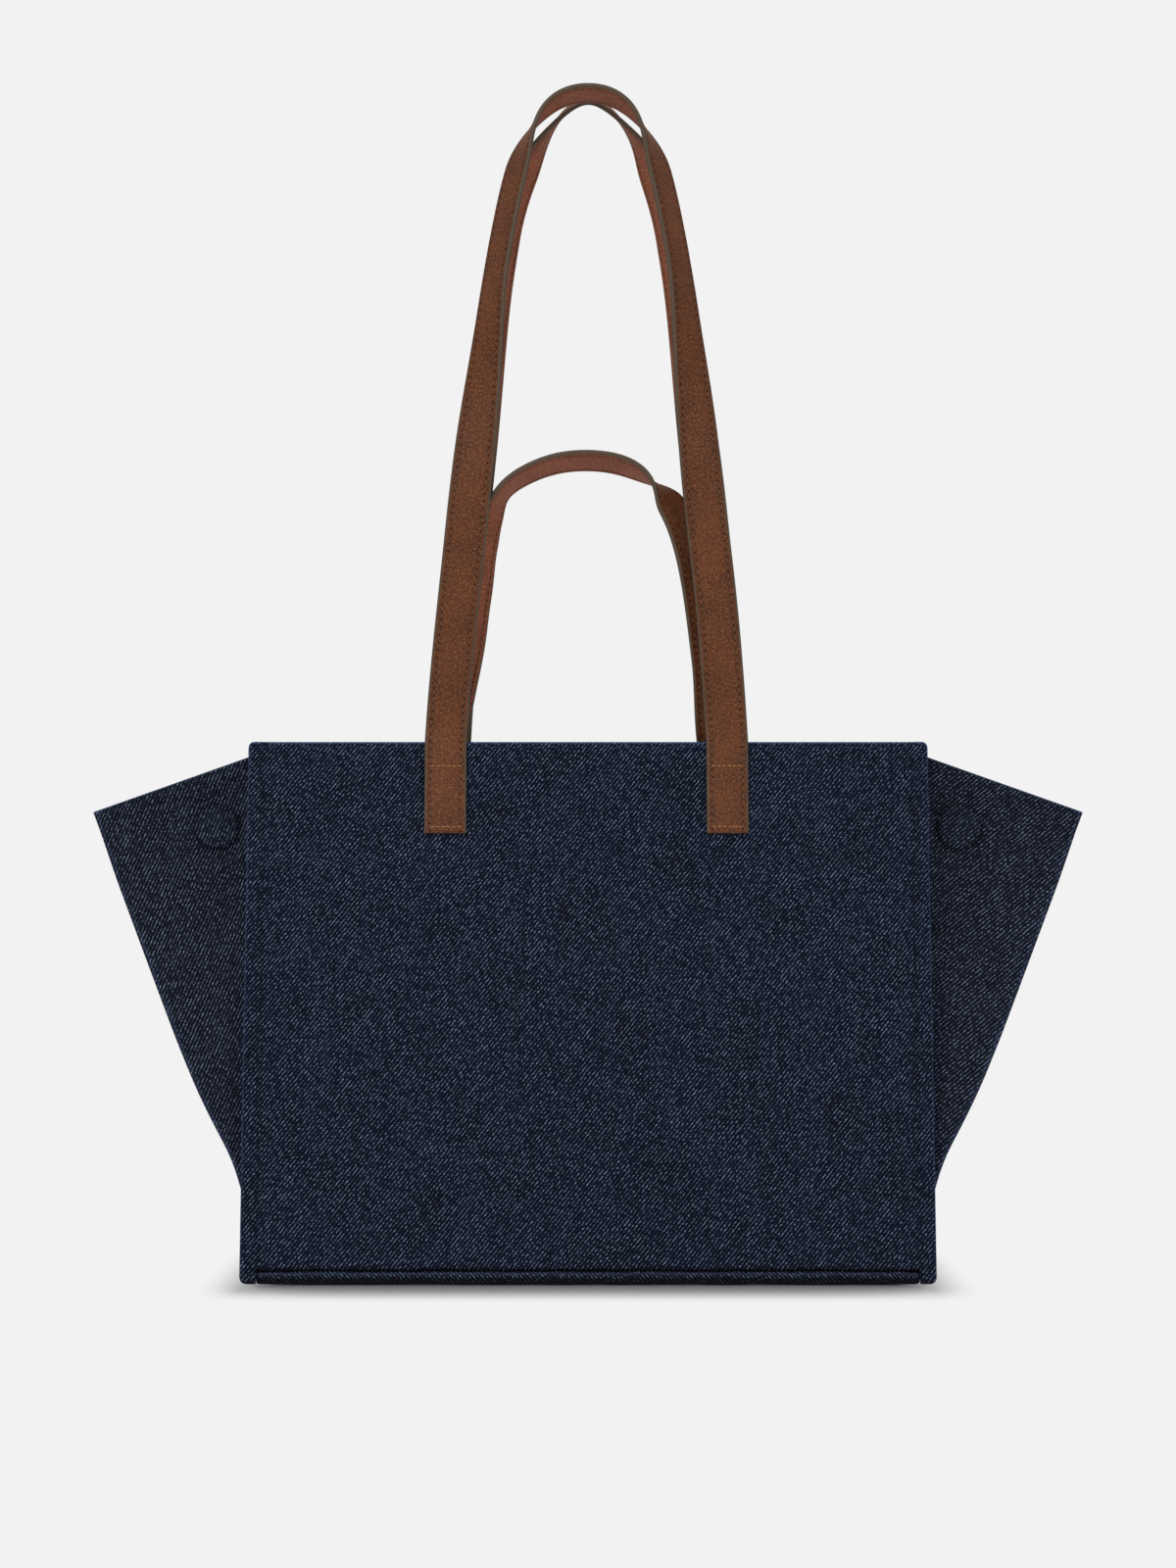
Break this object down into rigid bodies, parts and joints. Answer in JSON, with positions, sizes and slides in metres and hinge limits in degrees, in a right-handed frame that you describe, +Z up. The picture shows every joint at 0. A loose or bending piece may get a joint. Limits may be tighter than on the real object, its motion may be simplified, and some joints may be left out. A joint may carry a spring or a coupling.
{
  "type": "trapeze bag",
  "caption": "Trapeze shopper bag in dark denim with side gussets folded out into wings, long leather shoulder straps and a short leather top handle.",
  "frame": {"origin": "centre of the bag's footprint, on the surface that it stands on", "axes": "+X to the right in the front view, +Y from the front panel to the back panel, +Z up"},
  "size_m": [0.5192, 0.158, 0.6231],
  "materials": {
    "denim": "dark indigo denim twill",
    "wing_denim": "the same denim, in the shade and seen from its steeper grain",
    "lining": "plain dark woven lining",
    "board": "plain stiffening board",
    "leather": "finely grained brown leather with painted edges",
    "backing_leather": "smoother, redder brown leather on the inner side of the straps",
    "magnet": "plain nickelled magnet"
  },
  "bodies": {
    "bag_base": {"base_cover": "wing_denim", "base_board": "board", "base_lining": "lining", "front_base_roll": "wing_denim", "rear_base_roll": "wing_denim"},
    "front_side": {"front_panel": "denim", "front_board": "board", "front_lining": "lining", "front_facing": "denim", "front_strap_ends": "leather", "front_strap_end_backings": "backing_leather"},
    "back_side": {"back_panel": "denim", "back_board": "board", "back_lining": "lining", "back_facing": "denim", "inner_pocket": "lining", "rear_strap_ends": "leather", "rear_strap_end_backings": "backing_leather", "handle_ends": "leather", "handle_end_backings": "backing_leather"},
    "front_strap_loop": {"front_strap": "leather", "front_strap_backing": "backing_leather"},
    "rear_strap_loop": {"rear_strap": "leather", "rear_strap_backing": "backing_leather"},
    "short_handle_loop": {"short_handle": "leather", "short_handle_backing": "backing_leather"},
    "left_end_fold": {"left_gusset_end": "wing_denim", "left_gusset_end_lining": "lining"},
    "right_end_fold": {"right_gusset_end": "wing_denim", "right_gusset_end_lining": "lining"},
    "left_front_wing": {"left_front_gusset": "wing_denim", "left_front_gusset_lining": "lining", "left_front_magnet": "magnet", "left_front_magnet_cover": "lining"},
    "left_rear_wing": {"left_rear_gusset": "wing_denim", "left_rear_gusset_lining": "lining", "left_rear_magnet": "magnet", "left_rear_magnet_cover": "lining"},
    "right_front_wing": {"right_front_gusset": "wing_denim", "right_front_gusset_lining": "lining", "right_front_magnet": "magnet", "right_front_magnet_cover": "lining"},
    "right_rear_wing": {"right_rear_gusset": "wing_denim", "right_rear_gusset_lining": "lining", "right_rear_magnet": "magnet", "right_rear_magnet_cover": "lining"}
  },
  "joints": [
    {"name": "front_opens", "type": "hinge", "parent": "bag_base", "child": "front_side", "pos_m": [0, -0.07585, 0.0071], "axis": [1, 0, 0], "range_deg": [0, 12]},
    {"name": "back_opens", "type": "hinge", "parent": "bag_base", "child": "back_side", "pos_m": [0, 0.07585, 0.0071], "axis": [1, 0, 0], "range_deg": [-12, 0]},
    {"name": "front_strap_falls", "type": "hinge", "parent": "front_side", "child": "front_strap_loop", "pos_m": [0, -0.018, 0.26677], "axis": [1, 0, 0], "range_deg": [0, 125]},
    {"name": "rear_strap_falls", "type": "hinge", "parent": "back_side", "child": "rear_strap_loop", "pos_m": [0, 0.018, 0.26677], "axis": [1, 0, 0], "range_deg": [-125, 0]},
    {"name": "handle_leans_back", "type": "hinge", "parent": "back_side", "child": "short_handle_loop", "pos_m": [0, 0.00869, 0.27894], "axis": [1, 0, 0], "range_deg": [-77.6, 0]},
    {"name": "left_end_tilts", "type": "hinge", "parent": "bag_base", "child": "left_end_fold", "pos_m": [-0.1683, 0, 0.0044], "axis": [0, 1, 0], "range_deg": [0, 6.2]},
    {"name": "right_end_tilts", "type": "hinge", "parent": "bag_base", "child": "right_end_fold", "pos_m": [0.1683, 0, 0.0044], "axis": [0, 1, 0], "range_deg": [-6.2, 0]},
    {"name": "left_front_seam_turns", "type": "hinge", "parent": "front_side", "child": "left_front_wing", "pos_m": [-0.169, -0.07334, 0.00856], "axis": [0, 0.2339, 0.9723], "range_deg": [-34.9, 0]},
    {"name": "right_front_seam_turns", "type": "hinge", "parent": "front_side", "child": "right_front_wing", "pos_m": [0.169, -0.07334, 0.00856], "axis": [0, 0.2339, 0.9723], "range_deg": [0, 34.9]},
    {"name": "left_rear_seam_turns", "type": "hinge", "parent": "back_side", "child": "left_rear_wing", "pos_m": [-0.169, 0.07334, 0.00856], "axis": [0, -0.2339, 0.9723], "range_deg": [0, 34.9]},
    {"name": "right_rear_seam_turns", "type": "hinge", "parent": "back_side", "child": "right_rear_wing", "pos_m": [0.169, 0.07334, 0.00856], "axis": [0, -0.2339, 0.9723], "range_deg": [-34.9, 0]}
  ],
  "couplings": [
    {"joint": "back_opens", "follows": "front_opens", "ratio": -1},
    {"joint": "left_end_tilts", "follows": "front_opens", "ratio": 0.51},
    {"joint": "right_end_tilts", "follows": "front_opens", "ratio": -0.51},
    {"joint": "left_front_seam_turns", "follows": "front_opens", "ratio": -2.9},
    {"joint": "right_front_seam_turns", "follows": "front_opens", "ratio": 2.9},
    {"joint": "left_rear_seam_turns", "follows": "front_opens", "ratio": 2.9},
    {"joint": "right_rear_seam_turns", "follows": "front_opens", "ratio": -2.9},
    {"joint": "handle_leans_back", "follows": "rear_strap_falls", "ratio": 0.62}
  ]
}
